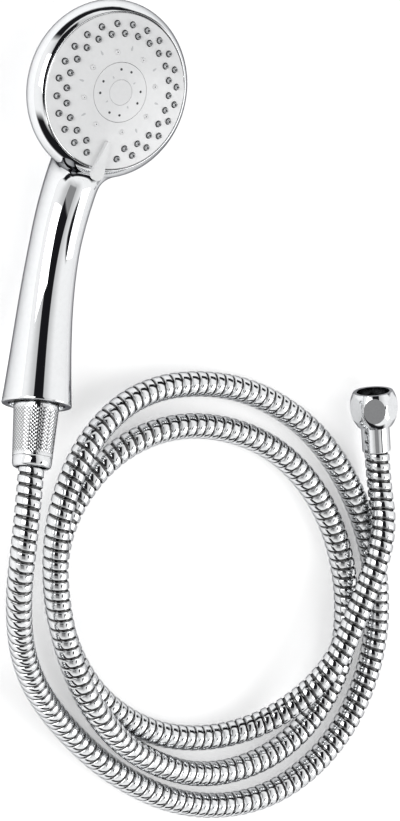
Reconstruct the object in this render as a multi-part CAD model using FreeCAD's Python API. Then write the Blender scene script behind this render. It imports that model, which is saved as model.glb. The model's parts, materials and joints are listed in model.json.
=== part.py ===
"""Handheld shower head with its metal hose, in millimetres.

The shower lies on its back on the floor, Z = 0, with its face looking straight up (+Z).
X is across the handle, +Y runs from the handle's end to the head. The origin is on the
floor under the middle of the shower without its hose.

Two local frames are used and then placed:
  head frame    origin at the middle of the head's rim, +Z out of the face, handle towards -Y
  handle frame  origin at the handle's end, +Y along the handle to the head, +Z to its front
"""
import FreeCAD
import Part

import math
import os

from FreeCAD import Placement, Rotation, Vector

# ---------------------------------------------------------------- driving dimensions
# Head shell
LIP_R = 42.8                # outer radius of the head's front lip
LIP_WALL = 0.75             # thickness of that lip at its edge
FLANK_BULGE = 5.2           # how far the head swells out behind the lip
FLANK_R = LIP_R + FLANK_BULGE
FLANK_DROP = 8.8            # depth of that largest radius behind the rim
HEAD_DEPTH = 26.0           # rim to the back of the head
HEAD_WALL = 2.2
BACK_FLAT_R = 1.5           # small flat in the middle of the head's back

# Handle
HANDLE_END_R = 18.9
WAIST_R = 13.9              # slimmest radius of the handle
WAIST_U = 88.0              # how far up the handle it is slimmest
FLARE_POWER = 1.68          # how quickly the flare dies out towards the waist
NECK_FLARE = 0.02           # the radius grows by this share beyond the waist
HANDLE_WALL = 2.5
HEAD_U = 163.5              # rim middle, measured along the handle
HEAD_W = 56.0               # rim middle, measured in front of the handle's axis
FACE_TILT = 17.6            # angle between the face and the lower handle, degrees
NECK_BELOW = 1.13           # the handle's axis ends this far behind the rim's middle
BEND_POWER = 3.5
NECK_PAST = 0.5             # the handle's tube runs this far past the head's middle
NECK_TOP = -3.0             # and stays this far behind the rim
SEAT_R = 15.2               # bore of the handle's end, where the spigot's plug sits
SEAT_DEPTH = 14.0
RECESS = 3.0                # the plug is this far inside the handle's end

# Spray face
PLATE_GAP = 0.25            # between the spray plate and the lip
PLATE_R = LIP_R - LIP_WALL - PLATE_GAP
PLATE_EDGE_Z = 0.4
PLATE_CROWN = 5.6           # height of the plate's middle above its edge
PLATE_WALL = 2.0
PLATE_SKIRT = 6.0
SKIRT_WALL = 1.6
INSERT_R = 15.9
OUTER_ROW_AT = 0.784        # place of each ring of jets from the insert to the plate's edge
INNER_ROW_AT = 0.587
MIST_ROW_AT = 0.216
OUTER_ROW_R = INSERT_R + OUTER_ROW_AT * (PLATE_R - INSERT_R)
INNER_ROW_R = INSERT_R + INNER_ROW_AT * (PLATE_R - INSERT_R)
MIST_ROW_R = INSERT_R + MIST_ROW_AT * (PLATE_R - INSERT_R)
NOZZLE_PITCH = 15.0         # degrees
NOZZLE_R = 1.75
NOZZLE_TIP_R = 1.05
NOZZLE_BORE_R = 0.6
NOZZLE_RISE = 1.7
NOZZLE_HOLE_GAP = 0.15
MAT_MARGIN_IN = 3.2         # rubber mat beyond its rows, inwards and outwards
MAT_MARGIN_OUT = 2.2
MAT_WALL = 1.2
MAT_GAP = 0.2               # between the mat and the plate's back
MIST_FIRST = 26.3           # degrees from the far side of the head
MIST_COUNT = 8
MIST_JET_R = 1.45
MIST_BORE_R = 0.33
MIST_RING_HALF = 2.0        # half the width of the ring that joins the mist jets
MASSAGE_ROW_AT = 0.589      # place of the massage jets from the cap to the insert's edge
MASSAGE_HOLE_R = 0.65
CAP_R = 6.9
MASSAGE_ROW_R = CAP_R + MASSAGE_ROW_AT * (INSERT_R - CAP_R)
LEVER_OVERHANG = 5.8        # how far the lever's tip reaches past the lip
LEVER_TIP_R = LIP_R + LEVER_OVERHANG
LEVER_W = 7.7
LEVER_ROOT_R = INNER_ROW_R - 4.1
LEVER_ROOT_W = 1.6
LEVER_RISE = 2.6
LEVER_DROOP = 1.2           # the lever's top falls by this much over the lip
LEVER_OVER_LIP = 0.35       # gap between the lever's underside and the rim
SELECTOR_SWING = 30.0       # degrees each way

# Inside the head
MANIFOLD_TOP = -11.0
MANIFOLD_T = 5.0
MANIFOLD_GAP = 4.2          # from its lower edge to the bowl's wall
SPINDLE_R = 6.0
SPINDLE_RUN = 0.05          # running clearance of the plate's hub on the spindle
HUB_R = 8.0
CHANNEL_TOP = -6.0
CHANNEL_BOTTOM = -10.8
FEED_R = 3.0                # radius of the water port
FEED_AT = 18.0              # distance of that port from the face's axis
BALL_R = 1.8
BALL_GAP = 0.2              # round the ball in its pocket
BALL_PROUD = 0.9            # how far the ball stands out of the manifold
POCKET_DEPTH = 4.2
DETENT_ANGLE = 30.0         # degrees from the far side of the head
FEED_SEAL_OUT = 2.1         # the port's rubber ring beyond the port, outside and inside
FEED_SEAL_IN = 0.3
FEED_SEAL_SINK = 1.2        # depth of its seat
FEED_SEAL_PROUD = 0.15
SEAL_GAP = 0.1
DISC_GAP = 0.6              # between the channel disc and the plate's skirt
DISC_WALL = 1.0             # the ring walls between the sprays
DISC_WALL_H = 2.0
MIST_PORT_AT = 22.5
INSERT_PORT_AT = 15.0
PORT_R = 2.0
LINK_R = 1.4
TUBE_R = 5.0
TUBE_WALL = 1.1
TUBE_BORE_R = TUBE_R - TUBE_WALL
TUBE_GRIP = 9.0             # length of the water tube inside the plug
SOCKET_GRIP = 6.0           # and inside the manifold's socket
TUBE_LEAD = 16.0            # straight run of the tube before that socket
TUBE_RUN = 56.54            # the tube leaves the handle's axis this far before the socket
TUBE_BEND_R = 30.0
SEAL_U = 9.5
SEAL_T = 1.93               # thickness of the tube's o-ring
SOCKET_WALL = 1.2
SOCKET_R = TUBE_R + SOCKET_WALL
SOCKET_Z = -17.4
SOCKET_FROM = 38.0          # mouth of the tube's socket, from the face's axis
SOCKET_TO = 24.0
SOCKET_NECK_R = TUBE_BORE_R + 0.9   # slimmer part between the socket and the feed port
SCREW_R = 1.85
SCREW_HEAD_R = 4.0
SCREW_END = -8.5
WASHER_TOP = 0.8            # top of the washer under the face screw's head
WASHER_R = 7.6
WELL_R = 5.2                # well of the insert round that screw
CAP_FLOOR = 3.0             # the cap stands on this height
INSERT_SKIRT = 1.4
BOSS_IN = 8.0               # from the manifold's edge in to its screws
BOSS_R = 3.2
BOSS_HOLE_R = 1.25
BOSS_HOLE_LOW = -20.0       # bottom of the screw holes in the bosses
BOSS_SCREW_HEAD_R = 2.6
BOSS_SCREW_SINK = 1.8       # depth of the pockets for those screws' heads
BOSS_ANGLES = (0.0, 75.0, -75.0)
ROTOR_GAP = 1.1             # between the rotor and the insert's skirt
ROTOR_RUN = 0.08
VANES = 10

# Threads, G 1/2: the plain radii of the thread's crest and root, and its pitch
THREAD_MAJOR_R = 10.478
THREAD_MINOR_R = 9.316
THREAD_PITCH = 1.814
THREAD_RUN = 0.15           # clearance all along the mated flanks

# Hose and its ends
SPIGOT_REACH = 10.0         # length of the threaded spigot outside the handle
SPIGOT_BORE_R = 4.2
RESTRICTOR_R = 6.5
RESTRICTOR_T = 3.0
HOSE_R = 7.0
HOSE_WALL = 1.3
HOSE_BORE_R = HOSE_R - HOSE_WALL
LINER_GAP = 0.7
LINER_R = HOSE_BORE_R - LINER_GAP
LINER_WALL = 1.2
LINER_BORE_R = LINER_R - LINER_WALL
CONE_TOP_R = 12.25
CONE_END_R = 10.5
CONE_LENGTH = 35.0
CONE_RUN = 0.15             # between the cone nut and the sleeve that it turns on
WASHER_T = 2.0
WASHER_BORE_R = 5.0
TAIL_FLANGE_R = 9.2
TAIL_FLANGE_T = 2.0
TAIL_COLLAR_R = HOSE_R - 0.4
TAIL_COLLAR_T = 0.99
TAIL_STEM_R = LINER_BORE_R - 0.1
TAIL_BORE_R = 2.9
BARB_PITCH = 3.2
HEX_FLATS = 24.0            # across the flats
HEX_LENGTH = 20.0
HEX_THREAD_DEPTH = 12.0
SEAT_GAP = 0.1              # between the thread's end and the washer
SEAT_MARGIN = 0.8           # the washer's seat is this much wider than the washer
HEX_CORNER_R = HEX_FLATS / math.sqrt(3)
BARREL_MOUTH = (11.3, 0.0)  # radius and height of the turned outline over the hexagon
BARREL_WIDEST = (13.5, -8.5)
BARREL_END_R = 9.6
FERRULE_WALL = 1.0
FERRULE_R = HOSE_R + FERRULE_WALL
FERRULE_LENGTH = 14.5
FERRULE_GRIP = 10.0         # length of hose inside the ferrule
CRIMP_WALL = 0.9
CRIMP_R = HOSE_R + CRIMP_WALL
CRIMP_LENGTH = 12.0
HOSE_START_U = -20.0        # where the hose starts, inside the cone nut
HOSE_STRAIGHT_U = -62.0     # first point of its route, still on the nut's axis
HEX_HEADING = 20.1          # degrees from +Y towards -X
HEX_MOUTH = (223.0, -63.3)  # middle of the nut's open end, seen from above
HEX_STRAIGHT = 27.0         # last straight run of the hose, on the hexagon nut's axis

# The hose's route from the cone nut to the hexagon nut, chosen by hand. The first point and
# the last two follow from the nuts, so they are worked out below.
HOSE_ROUTE = [
    (9, -208, 48), (35, -246, 27), (72, -275, 11), (120, -302, 7),
    (174, -315, 7), (226, -303, 7), (262, -265, 7), (273, -212, 7), (259, -161, 7),
    (228, -117, 7), (186, -86, 7), (133, -74, 7), (78, -86, 9), (43, -121, 20),
    (36, -171, 22), (54, -223, 22), (85, -264, 22), (130, -290, 12), (183, -297, 7),
    (231, -272, 7), (253, -223, 7), (242, -171, 7), (211, -127, 7), (165, -101, 7),
    (108, -100, 7), (65, -127, 7), (46, -176, 7), (63, -227, 7), (99, -264, 7),
    (151, -279, 7), (204, -265, 9), (235, -226, 23), (244, -178, 24), (247, -140, 25),
]

# ---------------------------------------------------------------- small helpers
EPS = 0.01
ALONG_Y = Rotation(Vector(1, 0, 0), -90)    # turns +Z to +Y
nodes = {}


def cylinder(radius, low, high, x=0.0, y=0.0):
    """Upright cylinder between two heights."""
    return Part.makeCylinder(radius, high - low, Vector(x, y, low))


def ring(outer, inner, low, high, x=0.0, y=0.0):
    """Upright tube between two heights."""
    return cylinder(outer, low, high, x, y).cut(cylinder(inner, low - 1, high + 1, x, y))


def revolve(profile):
    """Solid turned about Z from (radius, height) points."""
    points = [Vector(r, 0, z) for r, z in profile]
    wire = Part.makePolygon(points + points[:1])
    return Part.Face(wire).revolve(Vector(0, 0, 0), Vector(0, 0, 1), 360)


def polar(radius, degrees):
    """Point at an angle from the far side of the head, turning towards +X."""
    angle = math.radians(degrees)
    return radius * math.sin(angle), radius * math.cos(angle)


def fuse_all(shapes):
    """All the shapes made into one solid."""
    joined = shapes[0].multiFuse(shapes[1:])
    return joined.removeSplitter()


def on_handle(shape):
    """Turns a shape made along +Z to lie along the handle, +Y."""
    turned = shape.copy()
    turned.Placement = Placement(Vector(), ALONG_Y).multiply(turned.Placement)
    return turned


# ---------------------------------------------------------------- the handle's form
TILT = math.radians(FACE_TILT)


def axis_w(u):
    """How far the handle's axis has bent forward at u."""
    return (HEAD_W - NECK_BELOW) * (max(u, 0.0) / HEAD_U) ** BEND_POWER


def axis_slope(u):
    """Slope of that axis."""
    return BEND_POWER * axis_w(u) / max(u, EPS)


def handle_radius(u):
    """The handle's radius: a flare to its end, a slim waist, a little wider at the neck."""
    if u < WAIST_U:
        return WAIST_R + (HANDLE_END_R - WAIST_R) * (1 - u / WAIST_U) ** FLARE_POWER
    return WAIST_R + NECK_FLARE * (u - WAIST_U)


def underside(u):
    """Height of the handle's lowest line at u above its end's middle, in the row's frame."""
    half_height = handle_radius(u) * math.hypot(1, axis_slope(u))
    return -math.sin(TILT) * u + math.cos(TILT) * (axis_w(u) - half_height)


def to_row(u, w):
    """Handle frame to the row's Y and Z, before the handle's end is put in its place."""
    return (math.cos(TILT) * u + math.sin(TILT) * w, -math.sin(TILT) * u + math.cos(TILT) * w)


REACH_Y, _ = to_row(-SPIGOT_REACH, -THREAD_MAJOR_R)
RIM_Y, RIM_Z = to_row(HEAD_U, HEAD_W)
END_Y = -(RIM_Y + FLANK_R + REACH_Y) / 2    # puts the origin under the shower's middle
END_Z = -min(underside(u) for u in range(int(HEAD_U / 3), int(HEAD_U * 0.8)))
HEAD_AT = Vector(0, END_Y + RIM_Y, END_Z + RIM_Z)
HANDLE_AT = Placement(Vector(0, END_Y, END_Z), Rotation(Vector(1, 0, 0), -FACE_TILT))


def add_head(name, shape):
    """Keeps a shape of the head frame under its name, put in its place."""
    placed = shape.copy()
    placed.translate(HEAD_AT)
    nodes[name] = placed


def add_handle(name, shape):
    """Keeps a shape of the handle frame under its name, put in its place."""
    placed = shape.copy()
    placed.Placement = HANDLE_AT.multiply(placed.Placement)
    nodes[name] = placed


# ---------------------------------------------------------------- shell
def handle_loft(inset, low, high):
    """The handle's tube, shrunk by inset, through oval sections across the handle."""
    steps = 14
    wires = []
    for i in range(steps + 1):
        u = low + (high - low) * i / steps
        across = handle_radius(u) - inset
        tall = across * math.hypot(1, axis_slope(u))
        if tall > across + EPS:
            oval = Part.Ellipse(Vector(0, 0, 0), tall, across)
        else:
            oval = Part.Circle(Vector(0, 0, 0), Vector(0, 0, 1), across)
        edge = oval.toShape()
        # the long axis, X of the ellipse, is turned upright in the handle frame
        edge.rotate(Vector(0, 0, 0), Vector(0, 0, 1), 90)
        edge.rotate(Vector(0, 0, 0), Vector(1, 0, 0), 90)
        edge.translate(Vector(0, u, axis_w(u)))
        wires.append(Part.Wire(edge))
    return Part.makeLoft(wires, True, False)


def head_form(inset, top):
    """The head's rounded bowl, shrunk by inset: lip, flank and domed back, closed at top."""
    lip = LIP_R - inset
    side = FLANK_R - inset
    bottom = -HEAD_DEPTH + inset
    depth = -FLANK_DROP - bottom
    lip_point = Vector(lip, 0, top)
    mid_point = Vector((lip + side * 2.6) / 3.6, 0, (top - FLANK_DROP) / 2)
    side_point = Vector(side, 0, -FLANK_DROP)
    flank = Part.BSplineCurve()
    flank.interpolate([lip_point, mid_point, side_point],
                      InitialTangent=Vector(0.75, 0, -1), FinalTangent=Vector(0, 0, -1))
    # the dome is a quarter ellipse with a small flat at its middle
    flat_turn = math.asin(BACK_FLAT_R / side)
    dome = Part.Ellipse(Vector(0, 0, -FLANK_DROP), side, depth)
    dome_edge = Part.Edge(dome, 1.5 * math.pi + flat_turn, 2 * math.pi)
    # the ellipse lies in XY, so it is turned to stand in XZ
    dome_edge.rotate(Vector(0, 0, -FLANK_DROP), Vector(1, 0, 0), 90)
    flat_z = -FLANK_DROP - depth * math.cos(flat_turn)
    edges = [flank.toShape(), dome_edge,
             Part.makeLine(Vector(BACK_FLAT_R, 0, flat_z), Vector(0, 0, flat_z)),
             Part.makeLine(Vector(0, 0, flat_z), Vector(0, 0, top)),
             Part.makeLine(Vector(0, 0, top), lip_point)]
    wire = Part.Wire(Part.__sortEdges__(edges))
    return Part.Face(wire).revolve(Vector(0, 0, 0), Vector(0, 0, 1), 360)


def in_head(shape):
    """Handle frame to head frame."""
    moved = shape.copy()
    moved.Placement = HANDLE_AT.multiply(moved.Placement)
    moved.translate(-HEAD_AT)
    return moved


def bowl_radius(inset, height):
    """Radius of the bowl's domed back at a height, shrunk by inset."""
    depth = HEAD_DEPTH - inset - FLANK_DROP
    return (FLANK_R - inset) * math.sqrt(1 - ((-height - FLANK_DROP) / depth) ** 2)


MANIFOLD_R = bowl_radius(HEAD_WALL, MANIFOLD_TOP - MANIFOLD_T) - MANIFOLD_GAP
BOSS_AT = MANIFOLD_R - BOSS_IN
DETENT_AT = BOSS_AT


def body_shell():
    """Handle and head in one hollow moulding, with screw bosses and the handle's end seat."""
    reach = 2 * FLANK_R
    above = Part.makeBox(2 * reach, 2 * reach, reach, Vector(-reach, -reach, NECK_TOP))
    neck_u = HEAD_U + NECK_PAST
    outside = head_form(0.0, 0.0).fuse(in_head(handle_loft(0.0, 0.0, neck_u)).cut(above))
    inside = head_form(HEAD_WALL, NECK_TOP)
    mouth = cylinder(PLATE_R + PLATE_GAP, -PLATE_SKIRT - 0.5, 1.0)
    bore = in_head(handle_loft(HANDLE_WALL, SEAT_DEPTH, neck_u - 1.0)).cut(above)
    seat = in_head(on_handle(cylinder(SEAT_R, -1.0, SEAT_DEPTH + EPS)))
    shell = outside.cut(inside).cut(mouth).cut(bore).cut(seat)
    pillars = []
    for degrees in BOSS_ANGLES:
        x, y = polar(BOSS_AT, degrees)
        pillar = cylinder(BOSS_R, -HEAD_DEPTH + 1.0, MANIFOLD_TOP - MANIFOLD_T, x, y)
        pillar = pillar.common(head_form(0.5, 0.0))
        pillars.append(pillar.cut(cylinder(BOSS_HOLE_R, BOSS_HOLE_LOW, MANIFOLD_TOP, x, y)))
    return shell.multiFuse(pillars)


# ---------------------------------------------------------------- threads
def thread_rings(radius_top, radius_root, low, high):
    """Heights and radii of a thread drawn as rings: (radius, height) points from low to high."""
    count = int((high - low) / THREAD_PITCH)
    start = low + (high - low - count * THREAD_PITCH) / 2
    points = []
    for i in range(count):
        z = start + i * THREAD_PITCH
        points += [(radius_root, z + 0.1 * THREAD_PITCH), (radius_top, z + 0.4 * THREAD_PITCH),
                   (radius_top, z + 0.6 * THREAD_PITCH), (radius_root, z + 0.9 * THREAD_PITCH)]
    return points


def inlet_spigot():
    """Plug glued in the handle's end, with the male threaded spigot outside it."""
    thread = thread_rings(THREAD_MAJOR_R, THREAD_MINOR_R, -SPIGOT_REACH + 0.6, RECESS - 1.4)
    profile = ([(SPIGOT_BORE_R, -SPIGOT_REACH), (THREAD_MINOR_R - 0.3, -SPIGOT_REACH)] + thread
               + [(THREAD_MINOR_R, RECESS), (SEAT_R, RECESS), (SEAT_R, SEAT_DEPTH),
                  (TUBE_R + EPS, SEAT_DEPTH), (TUBE_R + EPS, SEAT_DEPTH - TUBE_GRIP),
                  (SPIGOT_BORE_R, SEAT_DEPTH - TUBE_GRIP)])
    body = revolve(profile)
    # groove for the o-ring that seals the water tube
    groove = ring(TUBE_R + SEAL_T, TUBE_R, SEAL_U - SEAL_T / 2 - 0.03, SEAL_U + SEAL_T / 2 + 0.03)
    # pocket for the flow restrictor in the spigot's mouth
    pocket = cylinder(RESTRICTOR_R, -SPIGOT_REACH - 1, -SPIGOT_REACH + RESTRICTOR_T + 1.0)
    return on_handle(body.cut(groove).cut(pocket))



def o_ring(mean_r, thick_r, height):
    """Rubber ring of round section, lying flat."""
    return Part.makeTorus(mean_r, thick_r, Vector(0, 0, height), Vector(0, 0, 1))


def flow_restrictor():
    """Plastic disc with a ring of small holes, pressed in the spigot's mouth."""
    low = -SPIGOT_REACH + 1.0
    disc = cylinder(RESTRICTOR_R - 0.05, low, low + RESTRICTOR_T)
    for i in range(8):
        x, y = polar(3.6, 45.0 * i)
        disc = disc.cut(cylinder(0.7, low - 1, low + RESTRICTOR_T + 1, x, y))
    return on_handle(disc)


def bent_path(points, share=0.45, fixed_radius=None):
    """Wire of straight runs joined by tangent arcs. Each arc starts the same share of the
    shorter of its two runs before the corner. Returns the wire and its smallest radius."""
    vectors = [Vector(*p) for p in points]
    edges = []
    start = vectors[0]
    smallest = 1e9
    for before, corner, after in zip(vectors, vectors[1:], vectors[2:]):
        way_in = (corner - before).normalize()
        way_out = (after - corner).normalize()
        turn = way_in.getAngle(way_out)
        back = share * min((corner - before).Length, (after - corner).Length)
        if fixed_radius:
            back = fixed_radius * math.tan(turn / 2)
        radius = back / math.tan(turn / 2)
        smallest = min(smallest, radius)
        arc_from = corner - way_in * back
        arc_to = corner + way_out * back
        to_middle = (way_out - way_in).normalize()
        centre = corner + to_middle * (radius / math.cos(turn / 2))
        arc_mid = centre - to_middle * radius
        edges.append(Part.LineSegment(start, arc_from).toShape())
        edges.append(Part.Arc(arc_from, arc_mid, arc_to).toShape())
        start = arc_to
    edges.append(Part.LineSegment(start, vectors[-1]).toShape())
    return Part.Wire(edges), smallest


def skin_along(wire, radius):
    """Faces of a round skin along a wire of lines and arcs: cylinders and torus pieces."""
    faces = []
    for edge in wire.OrderedEdges:
        start = edge.valueAt(edge.FirstParameter)
        along = edge.tangentAt(edge.FirstParameter)
        circle = Part.Circle(start, along, radius).toShape()
        if edge.Curve.TypeId == "Part::GeomLine":
            faces.append(circle.extrude(edge.valueAt(edge.LastParameter) - start))
        else:
            turn = math.degrees(edge.LastParameter - edge.FirstParameter)
            faces.append(circle.revolve(edge.Curve.Center, edge.Curve.Axis, turn))
    return faces


def end_ring(edge, parameter, outer, inner):
    """Flat ring that closes a tube at one end of its wire."""
    middle = edge.valueAt(parameter)
    along = edge.tangentAt(parameter)
    discs = [Part.Face(Part.Wire(Part.Circle(middle, along, radius).toShape()))
             for radius in (outer, inner)]
    return discs[0].cut(discs[1]).Faces[0]


def tube_along(wire, outer, inner):
    """Hollow tube of round section along a wire of lines and arcs."""
    first, last = wire.OrderedEdges[0], wire.OrderedEdges[-1]
    faces = skin_along(wire, outer) + skin_along(wire, inner)
    faces.append(end_ring(first, first.FirstParameter, outer, inner))
    faces.append(end_ring(last, last.LastParameter, outer, inner))
    shell = Part.Shell(faces)
    shell.sewShape()
    solid = Part.Solid(shell)
    if solid.Volume < 0:
        solid.reverse()
    return solid


def waterway_tube():
    """Water tube from the plug, up the handle, to the manifold's socket."""
    mouth_u = HEAD_U - SOCKET_FROM * math.cos(TILT) - SOCKET_Z * math.sin(TILT)
    mouth_w = HEAD_W - SOCKET_FROM * math.sin(TILT) + SOCKET_Z * math.cos(TILT)
    toward = (math.cos(TILT), math.sin(TILT))
    points = [(0, SEAT_DEPTH - TUBE_GRIP + EPS, 0), (0, mouth_u - TUBE_RUN, 0),
              (0, mouth_u - TUBE_LEAD * toward[0], mouth_w - TUBE_LEAD * toward[1]),
              (0, mouth_u + SOCKET_GRIP * toward[0], mouth_w + SOCKET_GRIP * toward[1])]
    wire, _ = bent_path(points, fixed_radius=TUBE_BEND_R)
    return tube_along(wire, TUBE_R, TUBE_BORE_R)


# ---------------------------------------------------------------- inside the head
def manifold():
    """Fixed body behind the face: tube socket, feed port, spindle, ball pocket."""
    low = MANIFOLD_TOP - MANIFOLD_T
    disc = cylinder(MANIFOLD_R, low, MANIFOLD_TOP)
    spindle = cylinder(SPINDLE_R, MANIFOLD_TOP - 1, 0.0)
    core = cylinder(SPINDLE_R + 3.0, low - 3.0, MANIFOLD_TOP - 1)
    mouth = Vector(0, -SOCKET_FROM, SOCKET_Z)
    inwards = Vector(0, 1, 0)
    socket = Part.makeCylinder(SOCKET_R, SOCKET_FROM - SOCKET_TO, mouth, inwards)
    neck = Part.makeCylinder(SOCKET_NECK_R, SOCKET_FROM - SPINDLE_R - 2.0, mouth, inwards)
    body = fuse_all([disc, spindle, core, socket, neck])
    seat = Part.makeCylinder(TUBE_R + EPS, SOCKET_GRIP + EPS,
                             Vector(0, -SOCKET_FROM - EPS, SOCKET_Z), inwards)
    channel = Part.makeCylinder(TUBE_BORE_R, SOCKET_FROM - FEED_AT + FEED_R, mouth, inwards)
    feed = cylinder(FEED_R, SOCKET_Z, MANIFOLD_TOP + 1, 0, -FEED_AT)
    seal_seat = ring(FEED_R + FEED_SEAL_OUT + SEAL_GAP, FEED_R + FEED_SEAL_IN - SEAL_GAP,
                     MANIFOLD_TOP - FEED_SEAL_SINK, MANIFOLD_TOP + 1, 0, -FEED_AT)
    pocket = cylinder(BALL_R + BALL_GAP, MANIFOLD_TOP - POCKET_DEPTH, MANIFOLD_TOP + 1,
                      *polar(DETENT_AT, DETENT_ANGLE))
    screw_bore = cylinder(SCREW_R, SCREW_END - 0.5, 1.0)
    for cutter in (seat, channel, feed, seal_seat, pocket, screw_bore):
        body = body.cut(cutter)
    for degrees in BOSS_ANGLES:
        x, y = polar(BOSS_AT, degrees)
        body = body.cut(cylinder(BOSS_HOLE_R + 0.35, low - 1, MANIFOLD_TOP, x, y))
        body = body.cut(cylinder(BOSS_SCREW_HEAD_R + 0.3, MANIFOLD_TOP - BOSS_SCREW_SINK,
                                 MANIFOLD_TOP + 1, x, y))
    return body


def manifold_screws():
    """Three screws that hold the manifold on the shell's bosses."""
    screws = []
    for degrees in BOSS_ANGLES:
        x, y = polar(BOSS_AT, degrees)
        under_head = MANIFOLD_TOP - BOSS_SCREW_SINK
        head = cylinder(BOSS_SCREW_HEAD_R, under_head, MANIFOLD_TOP - 0.4, x, y)
        shank = cylinder(BOSS_HOLE_R - 0.05, BOSS_HOLE_LOW + 0.5, under_head, x, y)
        slot = Part.makeBox(3.6, 0.7, 1.0, Vector(x - 1.8, y - 0.35, under_head + 0.7))
        screws.append(head.fuse(shank).cut(slot))
    return Part.makeCompound(screws)


def detent_ball():
    """Steel ball that clicks into the plate's dimples."""
    x, y = polar(DETENT_AT, DETENT_ANGLE)
    return Part.makeSphere(BALL_R, Vector(x, y, MANIFOLD_TOP - BALL_R + BALL_PROUD))


def detent_spring():
    """Spring under the ball, drawn as a short tube."""
    low = MANIFOLD_TOP - POCKET_DEPTH
    return ring(BALL_R - 0.1, BALL_R - 0.7, low, low + 1.5, *polar(DETENT_AT, DETENT_ANGLE))


def channel_disc():
    """Disc fixed behind the spray plate: hub, three inlets, ring walls between the sprays."""
    disc_r = PLATE_R - SKIRT_WALL - DISC_GAP
    mist_wall = (INNER_ROW_R + MIST_ROW_R) / 2 + 0.7
    insert_wall = (MIST_ROW_R + INSERT_R) / 2 + 0.7
    floor = cylinder(disc_r, CHANNEL_BOTTOM, CHANNEL_TOP)
    hub = cylinder(HUB_R, CHANNEL_TOP - 1, -0.1)
    walls = [ring(outer, outer - DISC_WALL, CHANNEL_TOP - 1, CHANNEL_TOP + DISC_WALL_H)
             for outer in (disc_r, mist_wall, insert_wall)]
    body = fuse_all([floor, hub] + walls)
    body = body.cut(cylinder(SPINDLE_R + SPINDLE_RUN, CHANNEL_BOTTOM - 1, 1.0))
    nozzle_port_at = mist_wall + DISC_WALL + PORT_R
    for degrees, zone in ((180.0, nozzle_port_at), (180.0 - SELECTOR_SWING, MIST_PORT_AT),
                          (180.0 + SELECTOR_SWING, INSERT_PORT_AT)):
        x, y = polar(FEED_AT, degrees)
        zx, zy = polar(zone, degrees)
        body = body.cut(cylinder(FEED_R, CHANNEL_BOTTOM - 1, CHANNEL_TOP - 2.0, x, y))
        body = body.cut(cylinder(PORT_R, CHANNEL_TOP - 3.4, CHANNEL_TOP + 3.0, zx, zy))
        reach = math.hypot(zx - x, zy - y)
        body = body.cut(Part.makeCylinder(LINK_R, reach, Vector(x, y, CHANNEL_TOP - 2.8),
                                          Vector(zx - x, zy - y, 0)))
    groove_half = BALL_R + 0.3
    groove = ring(DETENT_AT + groove_half, DETENT_AT - groove_half, CHANNEL_BOTTOM - 1,
                  CHANNEL_BOTTOM + BALL_PROUD)
    body = body.cut(groove)
    for step in (-1, 0, 1):
        x, y = polar(DETENT_AT, DETENT_ANGLE + step * SELECTOR_SWING)
        body = body.cut(Part.makeSphere(BALL_R, Vector(x, y, CHANNEL_BOTTOM - 0.1)))
    return body


# ---------------------------------------------------------------- spray face
def crown_z(radius):
    """Height of the plate's outer face at a radius: a shallow dome."""
    return PLATE_EDGE_Z + PLATE_CROWN * (1 - (radius / PLATE_R) ** 2)


def crown_profile(offset, inner, outer, steps=12):
    """(radius, height) points of that dome, moved down by offset, from inner to outer."""
    radii = [inner + (outer - inner) * i / steps for i in range(steps + 1)]
    return [(r, crown_z(r) - offset) for r in radii]


def nozzle_places():
    """Angle and radius of each rubber nozzle: two rows, open towards the lever."""
    places = [(i * NOZZLE_PITCH, OUTER_ROW_R) for i in range(24) if i != 12]
    places += [((i + 0.5) * NOZZLE_PITCH, INNER_ROW_R) for i in range(24) if i not in (11, 12)]
    return places


def mist_angles():
    """Angles of the mist jets."""
    return [MIST_FIRST + 360.0 / MIST_COUNT * i for i in range(MIST_COUNT)]


def lever():
    """Raised rib that widens to a thumb lever over the lip, before it is joined to the plate."""
    tip_centre = LEVER_TIP_R - LEVER_W / 2
    flat = [Vector(LEVER_ROOT_W / 2, -LEVER_ROOT_R, 0), Vector(LEVER_W / 2, -tip_centre, 0)]
    left = [Vector(-p.x, p.y, 0) for p in flat]
    edges = [Part.makeLine(flat[0], flat[1]),
             Part.Arc(flat[1], Vector(0, -LEVER_TIP_R, 0), left[1]).toShape(),
             Part.makeLine(left[1], left[0]), Part.makeLine(left[0], flat[0])]
    face = Part.Face(Part.Wire(edges))
    block = face.extrude(Vector(0, 0, PLATE_CROWN + LEVER_RISE))
    block.translate(Vector(0, 0, LEVER_OVER_LIP))
    past_tip = LEVER_TIP_R + 2
    roof = revolve([(0, -5)] + crown_profile(-LEVER_RISE, 0.0, PLATE_R)
                   + [(past_tip, crown_z(PLATE_R) + LEVER_RISE - LEVER_DROOP), (past_tip, -5)])
    plate_inside = PLATE_R - SKIRT_WALL / 2
    below = revolve([(0, -6)] + crown_profile(PLATE_WALL / 2, 0.0, plate_inside)
                    + [(plate_inside, -6)])
    return block.common(roof).cut(below)


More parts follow.
